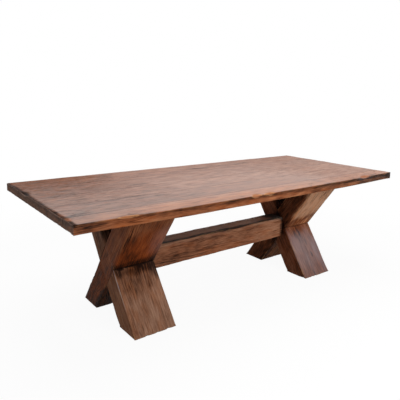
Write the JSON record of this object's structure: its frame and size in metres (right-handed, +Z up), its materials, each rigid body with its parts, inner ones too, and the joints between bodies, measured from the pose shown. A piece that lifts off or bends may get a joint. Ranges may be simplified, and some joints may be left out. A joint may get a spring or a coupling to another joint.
{
  "type": "sawbuck table",
  "caption": "Long timber dining table: a thick plank top on two crossed-leg trestles joined by one heavy stretcher.",
  "frame": {"origin": "on the floor, under the middle of the top", "axes": "+X along the table to the right end, +Y from the front edge to the back edge, +Z up"},
  "size_m": [2.44, 1.016, 0.762],
  "materials": {
    "top_wood": "dark stained and worn planks, satin",
    "trestle_wood": "dark stained old beams, satin, worn arrises",
    "secondary_wood": "planed, thinly stained",
    "zinc_steel": "zinc plated, dull"
  },
  "bodies": {
    "root": {"top_board_front": "top_wood", "top_board_second": "top_wood", "top_board_third": "top_wood", "top_board_fourth": "top_wood", "top_board_back": "top_wood", "leg_left_front_foot": "trestle_wood", "leg_left_back_foot": "trestle_wood", "leg_right_front_foot": "trestle_wood", "leg_right_back_foot": "trestle_wood", "stretcher": "trestle_wood", "top_spline_front_to_second": "secondary_wood", "top_spline_second_to_third": "secondary_wood", "top_spline_third_to_fourth": "secondary_wood", "top_spline_fourth_to_back": "secondary_wood", "top_batten_left": "secondary_wood", "top_batten_middle": "secondary_wood", "top_batten_right": "secondary_wood", "bearer_left": "secondary_wood", "bearer_right": "secondary_wood", "stretcher_hanger_bolts": "zinc_steel", "stretcher_washers": "zinc_steel", "stretcher_nuts": "zinc_steel", "lap_screws": "zinc_steel", "bearer_lag_screws": "zinc_steel", "bearer_lag_washers": "zinc_steel", "top_screws": "zinc_steel", "top_screw_washers": "zinc_steel"}
  },
  "joints": []
}
